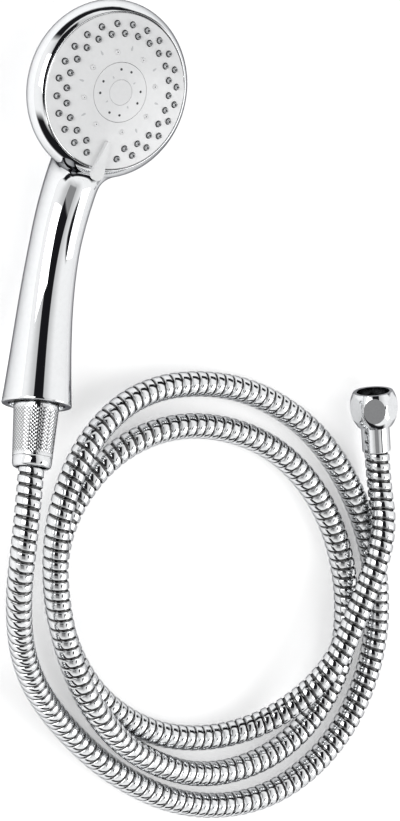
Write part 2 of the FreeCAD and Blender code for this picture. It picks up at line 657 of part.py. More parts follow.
def spray_plate():
    """White domed plate with its skirt, its holes and the lever."""
    skirt_r = PLATE_R - SKIRT_WALL
    dome = crown_profile(0.0, INSERT_R + PLATE_GAP, PLATE_R - 0.4)
    under = crown_profile(PLATE_WALL, INSERT_R + PLATE_GAP, skirt_r)
    profile = (dome + [(PLATE_R, 0.1), (PLATE_R, -PLATE_SKIRT), (skirt_r, -PLATE_SKIRT)]
               + under[::-1])
    plate = fuse_all([revolve(profile), lever().cut(cylinder(LEVER_ROOT_R - 1, -5, 12))])
    holes = []
    for degrees, radius in nozzle_places():
        holes.append(cylinder(NOZZLE_R + NOZZLE_HOLE_GAP, -4.0, 9.0, *polar(radius, degrees)))
    for degrees in mist_angles():
        holes.append(cylinder(MIST_JET_R + EPS, -4.0, 9.0, *polar(MIST_ROW_R, degrees)))
    return plate.cut(Part.makeCompound(holes))


def back_ring(inner, outer):
    """Thin ring that follows the plate's back, a small gap behind it."""
    top = crown_profile(PLATE_WALL + MAT_GAP, inner, outer)
    bottom = crown_profile(PLATE_WALL + MAT_GAP + MAT_WALL, inner, outer)
    return revolve(top + bottom[::-1])


def nozzle_mat():
    """Rubber mat behind the plate with all its nozzles in one piece."""
    parts = [back_ring(INNER_ROW_R - MAT_MARGIN_IN, OUTER_ROW_R + MAT_MARGIN_OUT)]
    bores = []
    for degrees, radius in nozzle_places():
        x, y = polar(radius, degrees)
        surface = crown_z(radius)
        base = surface - PLATE_WALL - MAT_GAP - MAT_WALL / 3
        tip = surface + NOZZLE_RISE
        parts.append(cylinder(NOZZLE_R, base, surface, x, y))
        parts.append(Part.makeCone(NOZZLE_R, NOZZLE_TIP_R, tip - surface, Vector(x, y, surface)))
        bores.append(cylinder(NOZZLE_BORE_R, base - 3, tip + 1, x, y))
    return fuse_all(parts).cut(Part.makeCompound(bores))


def mist_jets():
    """Ring of small cone-tipped jets, joined by a thin ring behind the plate."""
    parts = [back_ring(MIST_ROW_R - MIST_RING_HALF, MIST_ROW_R + MIST_RING_HALF)]
    bores = []
    surface = crown_z(MIST_ROW_R)
    base = surface - PLATE_WALL - MAT_GAP - MAT_WALL / 3
    for degrees in mist_angles():
        x, y = polar(MIST_ROW_R, degrees)
        parts.append(cylinder(MIST_JET_R, base, surface + 0.1, x, y))
        parts.append(Part.makeCone(MIST_JET_R, 0.9, 0.7, Vector(x, y, surface + 0.1)))
        bores.append(cylinder(MIST_BORE_R, surface - 6, surface + 3, x, y))
    return fuse_all(parts).cut(Part.makeCompound(bores))


def massage_places():
    """Eight massage jets in four pairs."""
    return [2.5 + 90 * i + side for i in range(4) for side in (-15, 15)]


def massage_insert():
    """Middle of the face: domed disc with eight jets, a skirt and a well for the screw."""
    skirt_r = INSERT_R - INSERT_SKIRT
    well_r = CAP_R + 0.9
    top = crown_profile(0.0, CAP_R + EPS, INSERT_R, 6)
    under = crown_profile(1.8, well_r, skirt_r, 4)
    floor_low = CAP_FLOOR - 0.9
    profile = (top + [(INSERT_R, CHANNEL_TOP), (skirt_r, CHANNEL_TOP)] + under[::-1]
               + [(well_r, floor_low), (WELL_R, floor_low), (WELL_R, CAP_FLOOR),
                  (CAP_R + EPS, CAP_FLOOR)])
    body = revolve(profile)
    bores = [cylinder(MASSAGE_HOLE_R, 0, 9, *polar(MASSAGE_ROW_R, a)) for a in massage_places()]
    return body.cut(Part.makeCompound(bores))


def massage_rotor():
    """Small turbine under the massage jets: ring, curved vanes and a half shutter."""
    bore = HUB_R + ROTOR_RUN
    rotor_r = INSERT_R - INSERT_SKIRT - ROTOR_GAP
    hub = ring(bore + 1.2, bore, -4.6, -0.6)
    half = Part.makeBox(2 * INSERT_R, INSERT_R, 4, Vector(-INSERT_R, 0.8, -2))
    shutter = ring(rotor_r, bore, -0.9, -0.1).cut(half)
    vanes = []
    for i in range(VANES):
        vane = Part.makeBox(0.8, rotor_r - bore - 0.6, 3.6, Vector(-0.4, bore + 0.5, -4.5))
        vane.rotate(Vector(0, 0, 0), Vector(0, 0, 1), 360.0 / VANES * i)
        vanes.append(vane)
    return fuse_all([hub, shutter] + vanes)


def face_screw():
    """Screw that holds the face on the spindle."""
    head = cylinder(SCREW_HEAD_R, WASHER_TOP, WASHER_TOP + 1.2)
    shank = cylinder(SCREW_R, SCREW_END, WASHER_TOP)
    cross = Part.makeBox(4.4, 0.9, 1.0, Vector(-2.2, -0.45, WASHER_TOP + 0.6))
    turned = cross.copy()
    turned.rotate(Vector(0, 0, 0), Vector(0, 0, 1), 90)
    return head.fuse(shank).cut(cross).cut(turned)


def centre_cap():
    """Round snap-in cap over the screw."""
    top = crown_z(0.0)
    disc = cylinder(CAP_R - 0.05, top - 1.4, top)
    foot = ring(CAP_R - 0.05, CAP_R - 1.0, CAP_FLOOR + EPS, top - 1.3)
    cap = disc.fuse(foot).removeSplitter()
    rim = [e for e in cap.Edges if e.BoundBox.ZMin > top - EPS]
    return cap.makeFillet(0.6, rim)


# ---------------------------------------------------------------- hose ends
def hose_tail(nut_depth):
    """Barbed tail of the hose, made along -Z from its flange's outer face at nut_depth."""
    flange_low = nut_depth - TAIL_FLANGE_T
    points = [(TAIL_BORE_R, nut_depth), (TAIL_FLANGE_R, nut_depth), (TAIL_FLANGE_R, flange_low),
              (TAIL_COLLAR_R, flange_low), (TAIL_COLLAR_R, flange_low - TAIL_COLLAR_T)]
    z = flange_low - TAIL_COLLAR_T
    for _ in range(3):
        points += [(TAIL_STEM_R, z), (TAIL_STEM_R, z - 0.75 * BARB_PITCH),
                   (TAIL_STEM_R - 0.4, z - BARB_PITCH)]
        z -= BARB_PITCH
    points.append((TAIL_BORE_R, z))
    return revolve(points)



def cone_nut():
    """Long conical nut: female thread, washer seat, shoulder and the hose's opening."""
    top = 1.0
    end = top - CONE_LENGTH
    seat = -SPIGOT_REACH - WASHER_T
    shoulder = seat - TAIL_FLANGE_T - 0.1
    thread = thread_rings(THREAD_MAJOR_R + THREAD_RUN, THREAD_MINOR_R + THREAD_RUN,
                          -SPIGOT_REACH + 0.6, RECESS - 1.4)
    thread = [(r, z) for r, z in thread if z < top - 0.3]
    outer = [(CONE_TOP_R - 0.5, top), (CONE_TOP_R, top - 0.5), (CONE_END_R, end + 1.6),
             (CONE_END_R - 0.5, end + 0.5), (CONE_END_R - 1.4, end)]
    opening = CRIMP_R + CONE_RUN
    inner = [(opening, end), (opening, shoulder), (TAIL_FLANGE_R + 0.1, shoulder),
             (TAIL_FLANGE_R + 0.1, -SPIGOT_REACH), (THREAD_MINOR_R + THREAD_RUN, -SPIGOT_REACH)]
    profile = outer + inner + thread + [(THREAD_MAJOR_R + THREAD_RUN, top - 0.3),
                                        (THREAD_MAJOR_R + THREAD_RUN, top)]
    return on_handle(revolve(profile))


def flat_washer(low):
    """Rubber washer of a hose end, lying flat."""
    return ring(TAIL_FLANGE_R, WASHER_BORE_R, low, low + WASHER_T)


def crimp_sleeve():
    """Steel sleeve crimped round the hose's start, inside the cone nut."""
    low = HOSE_START_U - CRIMP_LENGTH + 0.4
    high = -SPIGOT_REACH - WASHER_T - TAIL_FLANGE_T - 0.1
    body = cylinder(CRIMP_R, low, high)
    body = body.cut(cylinder(HOSE_R + EPS, low - 1, HOSE_START_U + EPS))
    body = body.cut(cylinder(TAIL_COLLAR_R + EPS, low - 1, high + 1))
    return on_handle(body)


def far_washer_low():
    """Lower face of the hexagon nut's washer, its mouth at Z = 0."""
    return -HEX_THREAD_DEPTH - SEAT_GAP - WASHER_T


def hex_nut():
    """Hexagon nut with rounded corners, female thread and the tail's opening, mouth at Z = 0."""
    corners = [Vector(HEX_CORNER_R * math.cos(math.radians(60 * i + 30)),
                      HEX_CORNER_R * math.sin(math.radians(60 * i + 30)), 0) for i in range(7)]
    prism = Part.Face(Part.makePolygon(corners)).extrude(Vector(0, 0, -HEX_LENGTH))
    mouth, widest = [Vector(r, 0, z) for r, z in (BARREL_MOUTH, BARREL_WIDEST)]
    end = Vector(BARREL_END_R, 0, -HEX_LENGTH)
    low_mid, high_mid = Vector(0, 0, -HEX_LENGTH), Vector(0, 0, 0)
    edges = [Part.Arc(mouth, widest, end).toShape(), Part.makeLine(end, low_mid),
             Part.makeLine(low_mid, high_mid), Part.makeLine(high_mid, mouth)]
    outline = Part.Face(Part.Wire(edges))
    body = prism.common(outline.revolve(Vector(0, 0, 0), Vector(0, 0, 1), 360))
    body = body.cut(cylinder(THREAD_MINOR_R, -HEX_THREAD_DEPTH, 1.0))
    shoulder = far_washer_low() - TAIL_FLANGE_T - 0.1
    body = body.cut(cylinder(TAIL_FLANGE_R + SEAT_MARGIN, shoulder, -HEX_THREAD_DEPTH))
    return body.cut(cylinder(FERRULE_R - 0.4, -HEX_LENGTH - 1, 0))


def ferrule():
    """Smooth sleeve between the hexagon nut and the hose."""
    high = far_washer_low() - TAIL_FLANGE_T - 0.1
    low = -HEX_LENGTH - FERRULE_LENGTH
    body = cylinder(FERRULE_R, low, -HEX_LENGTH - 0.2)
    body = body.fuse(cylinder(FERRULE_R - 0.5, -HEX_LENGTH - 1, high))
    body = body.cut(cylinder(HOSE_R + EPS, low - 1, low + FERRULE_GRIP))
    body = body.cut(cylinder(TAIL_COLLAR_R + EPS, low - 1, high + 1))
    edges = [e for e in body.Edges
             if abs(e.BoundBox.ZMax - low) < EPS and e.BoundBox.XMax > FERRULE_R - EPS]
    return body.makeFillet(0.4, edges)


# ---------------------------------------------------------------- assembly
def place_far_end(shape):
    """Lays a shape with its mouth at Z = 0 at the hose's far end, its local Y upright."""
    heading = math.radians(HEX_HEADING)
    along = Vector(-math.sin(heading), math.cos(heading), 0)
    upright = Rotation(Vector(), Vector(0, 0, 1), along, "ZYX")
    lie = Placement(Vector(*HEX_MOUTH, HEX_CORNER_R), upright)
    placed = shape.copy()
    placed.Placement = lie.multiply(placed.Placement)
    return placed


def hose_points():
    """The whole route: from inside the cone nut, the chosen points, then the hexagon nut."""
    def handle_point(u):
        y, z = to_row(u, 0)
        return (0, END_Y + y, END_Z + z)

    heading = math.radians(HEX_HEADING)
    mouth_x, mouth_y = HEX_MOUTH

    def nut_point(back):
        return (mouth_x + back * math.sin(heading), mouth_y - back * math.cos(heading), HEX_CORNER_R)

    last = HEX_LENGTH + FERRULE_LENGTH - FERRULE_GRIP
    return ([handle_point(HOSE_START_U), handle_point(HOSE_STRAIGHT_U)] + HOSE_ROUTE
            + [nut_point(last + HEX_STRAIGHT), nut_point(last)])


def make_hose():
    """Metal casing and inner water hose along the same route."""
    points = hose_points()
    wire, smallest = bent_path(points)
    for name, outer, inner in (("hose_casing", HOSE_R, HOSE_BORE_R),
                               ("hose_liner", LINER_R, LINER_BORE_R)):
        solid = tube_along(wire, outer, inner)
        section = math.pi * (outer ** 2 - inner ** 2)
        print("%s length %.0f volume %.0f, section times length %.0f"
              % (name, wire.Length, solid.Volume, section * wire.Length))
        nodes[name] = solid
    print("smallest radius of the hose's route %.0f" % smallest)


def make_all():
    """Builds every node."""
    add_head("body_shell", body_shell())
    add_handle("inlet_spigot", inlet_spigot())
    add_handle("flow_restrictor", flow_restrictor())
    add_handle("tube_seal", on_handle(o_ring(TUBE_R + SEAL_T / 2, SEAL_T / 2 - 0.03, SEAL_U)))
    add_handle("waterway_tube", waterway_tube())
    add_head("manifold", manifold())
    add_head("manifold_screws", manifold_screws())
    add_head("feed_seal", ring(FEED_R + FEED_SEAL_OUT, FEED_R + FEED_SEAL_IN,
                               MANIFOLD_TOP - FEED_SEAL_SINK, MANIFOLD_TOP + FEED_SEAL_PROUD,
                               0, -FEED_AT))
    add_head("detent_ball", detent_ball())
    add_head("detent_spring", detent_spring())
    add_head("face_screw", face_screw())
    add_head("screw_washer", ring(WASHER_R, SCREW_R + 0.1, 0.0, WASHER_TOP))
    add_head("channel_disc", channel_disc())
    add_head("spray_plate", spray_plate())
    add_head("nozzle_mat", nozzle_mat())
    add_head("mist_jets", mist_jets())
    add_head("massage_insert", massage_insert())
    add_head("massage_rotor", massage_rotor())
    add_head("centre_cap", centre_cap())
    add_handle("cone_nut", cone_nut())
    washer_low = -SPIGOT_REACH - WASHER_T
    add_handle("washer_cone_end", on_handle(flat_washer(washer_low)))
    add_handle("tail_cone_end", on_handle(hose_tail(washer_low)))
    add_handle("sleeve_cone_end", crimp_sleeve())
    nodes["hex_nut"] = place_far_end(hex_nut())
    nodes["ferrule_nut_end"] = place_far_end(ferrule())
    nodes["washer_nut_end"] = place_far_end(flat_washer(far_washer_low()))
    nodes["tail_nut_end"] = place_far_end(hose_tail(far_washer_low()))
    make_hose()


make_all()
os.makedirs("parts", exist_ok=True)
for node_name, node_shape in nodes.items():
    if not node_shape.isValid():
        print("not valid:", node_name)
    node_shape.exportStep("parts/" + node_name + ".step")
print(len(nodes), "nodes, handle end at", round(END_Y, 2), round(END_Z, 2), "head at",
      round(HEAD_AT.y, 2), round(HEAD_AT.z, 2))
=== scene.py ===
"""Handheld shower with its looped metal hose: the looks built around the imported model.

Sizes in comments are millimetres, meshes are in metres in the model's own frame. Shapes are
surfaces of two parameters worked out with numpy.
"""
import json
import math

import bmesh
import bpy
import numpy as np
from mathutils import Matrix, Vector


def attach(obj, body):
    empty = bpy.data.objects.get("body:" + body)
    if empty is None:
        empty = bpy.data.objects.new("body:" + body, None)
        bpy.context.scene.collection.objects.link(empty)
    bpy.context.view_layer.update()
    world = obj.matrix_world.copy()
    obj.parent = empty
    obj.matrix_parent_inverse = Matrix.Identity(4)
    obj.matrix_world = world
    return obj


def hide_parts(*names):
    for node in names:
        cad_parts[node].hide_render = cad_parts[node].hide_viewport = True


bl_info = {
    "name": "Handheld shower",
    "version": (1, 0, 0),
    "blender": (4, 5, 0),
    "location": "3D View > Sidebar > Shower",
    "description": "Builds the looks of a handheld shower with its metal hose",
    "category": "Add Mesh",
}

MM = 0.001
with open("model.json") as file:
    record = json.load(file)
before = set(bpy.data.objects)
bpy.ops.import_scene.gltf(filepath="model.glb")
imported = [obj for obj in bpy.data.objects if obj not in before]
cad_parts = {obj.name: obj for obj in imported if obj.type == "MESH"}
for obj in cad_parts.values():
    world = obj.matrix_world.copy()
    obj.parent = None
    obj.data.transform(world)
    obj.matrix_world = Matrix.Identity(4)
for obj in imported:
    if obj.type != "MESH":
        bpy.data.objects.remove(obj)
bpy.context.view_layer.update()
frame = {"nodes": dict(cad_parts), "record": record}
HEAD_AT = np.array([0.0, 68.74, 39.15]) * MM
HANDLE_END = np.array([0.0, -104.04, 35.21]) * MM
HANDLE_WAY = np.array([0.0, 0.95319, -0.30237])
HEX_MOUTH = np.array([223.0, -63.3, 13.856]) * MM
HEX_WAY = np.array([-0.3437, 0.9391, 0.0])

# Points of the hose's route, in millimetres
HOSE_ROUTE = [
    (9, -208, 48), (35, -246, 27), (72, -275, 11), (120, -302, 7),
    (174, -315, 7), (226, -303, 7), (262, -265, 7), (273, -212, 7), (259, -161, 7),
    (228, -117, 7), (186, -86, 7), (133, -74, 7), (78, -86, 9), (43, -121, 20),
    (36, -171, 22), (54, -223, 22), (85, -264, 22), (130, -290, 12), (183, -297, 7),
    (231, -272, 7), (253, -223, 7), (242, -171, 7), (211, -127, 7), (165, -101, 7),
    (108, -100, 7), (65, -127, 7), (46, -176, 7), (63, -227, 7), (99, -264, 7),
    (151, -279, 7), (204, -265, 9), (235, -226, 23), (244, -178, 24), (247, -140, 25),
]


class ShowerSizes(bpy.types.PropertyGroup):
    """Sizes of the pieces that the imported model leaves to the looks."""

    hose_radius: bpy.props.FloatProperty(
        name="Hose radius", description="Radius over the hose's ribs",
        default=7.0 * MM, unit="LENGTH", precision=5)
    rib_pitch: bpy.props.FloatProperty(
        name="Rib pitch", description="Distance from one rib of the hose to the next",
        default=5.6 * MM, unit="LENGTH", precision=5)
    rib_depth: bpy.props.FloatProperty(
        name="Rib depth", description="How deep the strip's groove is between two ribs",
        default=0.85 * MM, unit="LENGTH", precision=5)
    knurl_pitch: bpy.props.FloatProperty(
        name="Knurl pitch", description="Width of one diamond of the cone nut's knurl",
        default=2.0 * MM, unit="LENGTH", precision=5)
    knurl_depth: bpy.props.FloatProperty(
        name="Knurl depth", description="Height of those diamonds",
        default=0.14 * MM, unit="LENGTH", precision=5)
    neck_blend: bpy.props.FloatProperty(
        name="Neck blend", description="How softly the handle flows into the head",
        default=9.0 * MM, unit="LENGTH", precision=5)
    lens: bpy.props.FloatProperty(
        name="Lens", description="Focal length of the camera in millimetres", default=206.8)


class ShowerColours(bpy.types.PropertyGroup):
    """Colours of the finishes."""

    chrome: bpy.props.FloatVectorProperty(
        name="Chrome", description="Tint of the plated metal",
        subtype="COLOR", default=(0.79, 0.8, 0.81), min=0, max=1)
    white: bpy.props.FloatVectorProperty(
        name="Spray face", description="White plastic of the spray face",
        subtype="COLOR", default=(0.74, 0.745, 0.75), min=0, max=1)
    nozzle: bpy.props.FloatVectorProperty(
        name="Nozzles", description="Grey rubber of the nozzles",
        subtype="COLOR", default=(0.56, 0.57, 0.58), min=0, max=1)
    floor: bpy.props.FloatVectorProperty(
        name="Floor", description="Pale floor",
        subtype="COLOR", default=(0.95, 0.95, 0.95), min=0, max=1)


# ---------------------------------------------------------------- meshes
def grid_quads(rows, columns, wrap=True, shift=0):
    """Quads of a grid whose points are stored row by row. With wrap, the last column joins
    the first one, shift rows further on, as on a helix."""
    i = np.arange(rows - 1)[:, None]
    j = np.arange(columns if wrap else columns - 1)[None, :]
    last = j == columns - 1
    across = np.where(wrap & last, 0, j + 1)
    step = np.where(wrap & last, shift, 0)
    a, b = i * columns + j, (i + step) * columns + across
    quads = np.stack([a, b, b + columns, a + columns], -1).reshape(-1, 4)
    return quads[quads.max(1) < rows * columns]


def new_piece(name, points, faces, slot, body, sharp=None):
    """A mesh object from points in metres, with its slot's finish. Faces turn smoothly except
    over the sharp angle."""
    mesh = bpy.data.meshes.new(name)
    mesh.from_pydata(np.asarray(points).tolist(), [], np.asarray(faces).tolist())
    mesh.shade_smooth()
    if sharp is not None:
        mesh.set_sharp_from_angle(angle=math.radians(sharp))
    piece = bpy.data.objects.new(name, mesh)
    bpy.context.scene.collection.objects.link(piece)
    mesh.materials.append(finish_for(slot))
    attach(piece, body)
    return piece


def close_up(mesh):
    """Merges doubled points, closes open rims and turns the faces outwards."""
    bm = bmesh.new()
    bm.from_mesh(mesh)
    bmesh.ops.remove_doubles(bm, verts=bm.verts, dist=1e-6)
    bmesh.ops.dissolve_degenerate(bm, edges=bm.edges, dist=1e-7)
    rims = [edge for edge in bm.edges if edge.is_boundary]
    bmesh.ops.holes_fill(bm, edges=rims, sides=0)
    bmesh.ops.recalc_face_normals(bm, faces=bm.faces)
    bm.to_mesh(mesh)
    bm.free()


def read_off(runs, known, values):
    """Rows of values that are known at some run lengths, read off in between at others."""
    return np.stack([np.interp(runs, known, values[:, k]) for k in range(3)], 1)


def smooth(x):
    """Smooth step: 3x^2 - 2x^3, held between 0 and 1."""
    x = np.clip(x, 0, 1)
    return x * x * (3 - 2 * x)


# ---------------------------------------------------------------- node groups
def add_node(tree, kind, **values):
    """A node with its plain values set; names that are inputs go to the sockets."""
    node = tree.nodes.new(kind)
    for key, value in values.items():
        if hasattr(node, key):
            setattr(node, key, value)
        else:
            node.inputs[key.replace("_", " ")].default_value = value
    return node


def new_group(name, inputs, outputs):
    """An empty shader group with its sockets, or the one that is already there."""
    group = bpy.data.node_groups.get(name)
    if group:
        return group, None, None
    group = bpy.data.node_groups.new(name, "ShaderNodeTree")
    for label, kind, default in inputs:
        socket = group.interface.new_socket(label, in_out="INPUT", socket_type=kind)
        if default is not None:
            socket.default_value = default
    for label, kind in outputs:
        group.interface.new_socket(label, in_out="OUTPUT", socket_type=kind)
    return group, group.nodes.new("NodeGroupInput"), group.nodes.new("NodeGroupOutput")


def wear_group():
    """Faint handling marks: the product of a broad and a nine times finer noise, given as a
    mask from 0 to 1 and as a roughness from Low to High."""
    group, given, result = new_group(
        "handling_marks",
        [("Vector", "NodeSocketVector", None), ("Scale", "NodeSocketFloat", 60.0),
         ("Low", "NodeSocketFloat", 0.03), ("High", "NodeSocketFloat", 0.08)],
        [("Mask", "NodeSocketFloat"), ("Roughness", "NodeSocketFloat")])
    if given is None:
        return group
    link = group.links.new
    broad = add_node(group, "ShaderNodeTexNoise", Detail=4.0, Roughness=0.6)
    fine = add_node(group, "ShaderNodeTexNoise", Detail=2.0, Roughness=0.5)
    times = add_node(group, "ShaderNodeMath", operation="MULTIPLY")
    times.inputs[1].default_value = 9.0
    product = add_node(group, "ShaderNodeMath", operation="MULTIPLY")
    link(given.outputs["Vector"], broad.inputs["Vector"])
    link(given.outputs["Vector"], fine.inputs["Vector"])
    link(given.outputs["Scale"], broad.inputs["Scale"])
    link(given.outputs["Scale"], times.inputs[0])
    link(times.outputs[0], fine.inputs["Scale"])
    link(broad.outputs["Fac"], product.inputs[0])
    link(fine.outputs["Fac"], product.inputs[1])
    for label in ("Mask", "Roughness"):
        spread = add_node(group, "ShaderNodeMapRange", From_Min=0.15, From_Max=0.4)
        link(product.outputs[0], spread.inputs["Value"])
        link(spread.outputs["Result"], result.inputs[label])
    link(given.outputs["Low"], spread.inputs["To Min"])
    link(given.outputs["High"], spread.inputs["To Max"])
    return group


def grain_group():
    """Moulded grain: one fine noise, given as a bump normal."""
    group, given, result = new_group(
        "moulded_grain",
        [("Vector", "NodeSocketVector", None), ("Scale", "NodeSocketFloat", 2500.0),
         ("Strength", "NodeSocketFloat", 0.1), ("Distance", "NodeSocketFloat", 0.00005)],
        [("Normal", "NodeSocketVector")])
    if given is None:
        return group
    link = group.links.new
    noise = add_node(group, "ShaderNodeTexNoise", Detail=3.0, Roughness=0.55)
    bump = add_node(group, "ShaderNodeBump")
    link(given.outputs["Vector"], noise.inputs["Vector"])
    link(given.outputs["Scale"], noise.inputs["Scale"])
    link(noise.outputs["Fac"], bump.inputs["Height"])
    link(given.outputs["Strength"], bump.inputs["Strength"])
    link(given.outputs["Distance"], bump.inputs["Distance"])
    link(bump.outputs["Normal"], result.inputs["Normal"])
    return group


def blend_group():
    """Colour that drifts a little between two tints, driven by a mask."""
    group, given, result = new_group(
        "tint_drift",
        [("Mask", "NodeSocketFloat", 0.5), ("First", "NodeSocketColor", (1, 1, 1, 1)),
         ("Second", "NodeSocketColor", (1, 1, 1, 1))],
        [("Color", "NodeSocketColor")])
    if given is None:
        return group
    mix = group.nodes.new("ShaderNodeMix")
    mix.data_type = "RGBA"
    group.links.new(given.outputs["Mask"], mix.inputs["Factor"])
    group.links.new(given.outputs["First"], mix.inputs[6])
    group.links.new(given.outputs["Second"], mix.inputs[7])
    group.links.new(mix.outputs[2], result.inputs["Color"])
    return group


def place_group(tree, group, **values):
    """The group as a node of this tree, with its own values."""
    node = tree.nodes.new("ShaderNodeGroup")
    node.node_tree = group
    for key, value in values.items():
        node.inputs[key].default_value = value
    return node


def new_finish(name, metallic=0.0):
    """A material with one Principled shader. Returns material, tree, shader, coordinates."""
    material = bpy.data.materials.new(name)
    material.use_nodes = True
    tree = material.node_tree
    principled = tree.nodes["Principled BSDF"]
    principled.inputs["Metallic"].default_value = metallic
    coordinates = tree.nodes.new("ShaderNodeTexCoord")
    return material, tree, principled, coordinates.outputs["Object"]


def metal(name, tint, low, high, scale=60.0, darker=0.9, brushed=0.0, groove=None):
    """Metal: tint and roughness drift with handling marks. brushed adds lathe lines as a bump,
    and groove is the grey of painted shade laid into the grooves, where the mesh's own groove
    attribute is high."""
    material, tree, shader, place = new_finish(name, 1.0)
    shader.inputs["Specular Tint"].default_value = (0.12, 0.12, 0.13, 1.0)
    link = tree.links.new
    marks = place_group(tree, wear_group(), Scale=scale, Low=low, High=high)
    link(place, marks.inputs["Vector"])
    link(marks.outputs["Roughness"], shader.inputs["Roughness"])
    second = tuple(channel * darker for channel in tint) + (1.0,)
    drift = place_group(tree, blend_group(), First=tuple(tint) + (1.0,), Second=second)
    link(marks.outputs["Mask"], drift.inputs["Mask"])
    link(drift.outputs["Color"], shader.inputs["Base Color"])
    # painted shade: the colour turns towards the groove grey as the cube of the groove attribute, so the
    # bottoms of the grooves darken
    if groove:
        depth = tree.nodes.new("ShaderNodeAttribute")
        depth.attribute_name = "groove"
        dark = place_group(tree, blend_group(), Second=(groove, groove, groove, 1.0))
        sharp = add_node(tree, "ShaderNodeMath", operation="POWER")
        sharp.inputs[1].default_value = 3.0
        link(depth.outputs["Fac"], sharp.inputs[0])
        link(sharp.outputs[0], dark.inputs["Mask"])
        link(drift.outputs["Color"], dark.inputs["First"])
        link(dark.outputs["Color"], shader.inputs["Base Color"])
    if brushed:
        lines = add_node(tree, "ShaderNodeTexNoise", Scale=900.0, Detail=2.0)
        stretch = add_node(tree, "ShaderNodeMapping")
        stretch.inputs["Scale"].default_value = (1.0, 1.0, 0.04)
        bump = add_node(tree, "ShaderNodeBump", Strength=brushed, Distance=0.00003)
        link(place, stretch.inputs["Vector"])
        link(stretch.outputs["Vector"], lines.inputs["Vector"])
        link(lines.outputs["Fac"], bump.inputs["Height"])
        link(bump.outputs["Normal"], shader.inputs["Normal"])
    return material


def plastic(name, tint, low, high, grain=0.08):
    """Plastic or rubber: drifting tint and roughness, and a moulded grain."""
    material, tree, shader, place = new_finish(name)
    link = tree.links.new
    marks = place_group(tree, wear_group(), Scale=45.0, Low=low, High=high)
    link(place, marks.inputs["Vector"])
    link(marks.outputs["Roughness"], shader.inputs["Roughness"])
    second = tuple(channel * 0.96 for channel in tint)
    drift = place_group(tree, blend_group(), First=tuple(tint) + (1.0,),
                        Second=second + (1.0,))
    link(marks.outputs["Mask"], drift.inputs["Mask"])
    link(drift.outputs["Color"], shader.inputs["Base Color"])
    bump = place_group(tree, grain_group(), Strength=grain)
    link(place, bump.inputs["Vector"])
    link(bump.outputs["Normal"], shader.inputs["Normal"])
    return material


def finish_for(slot):
    """The finish of a material slot of the record, made once."""
    made = bpy.data.materials.get("finish_" + slot)
    if made:
        return made
    colours = bpy.context.scene.shower_colours
    chrome = tuple(colours.chrome)
    recipes = {
        "chrome_shell": lambda n: metal(n, chrome, 0.015, 0.045, 40.0, 0.97),
        # chrome_nuts and hose_metal carry painted shade in their grooves, of greys 0.1 and 0.08
        "chrome_nuts": lambda n: metal(n, chrome, 0.03, 0.09, 90.0, 0.94, groove=0.1),
        "hose_metal": lambda n: metal(n, chrome, 0.04, 0.12, 120.0, 0.9, groove=0.08),
        "white_plastic": lambda n: plastic(n, tuple(colours.white), 0.16, 0.26),
        "nozzle_rubber": lambda n: metal(n, tuple(colours.nozzle), 0.16, 0.28, 200.0, 0.9),
        "seal_rubber": lambda n: plastic(n, (0.02, 0.02, 0.021), 0.5, 0.7, grain=0.25),
        "dark_plastic": lambda n: plastic(n, (0.03, 0.032, 0.036), 0.4, 0.55),
        "grey_plastic": lambda n: plastic(n, (0.5, 0.51, 0.52), 0.38, 0.5),
        "liner_plastic": lambda n: plastic(n, (0.62, 0.61, 0.58), 0.35, 0.5),
        "steel_parts": lambda n: metal(n, (0.56, 0.56, 0.57), 0.22, 0.36, brushed=0.35),
        "brass_parts": lambda n: metal(n, (0.6, 0.58, 0.53), 0.2, 0.34, brushed=0.3),
    }
    return recipes[slot]("finish_" + slot)


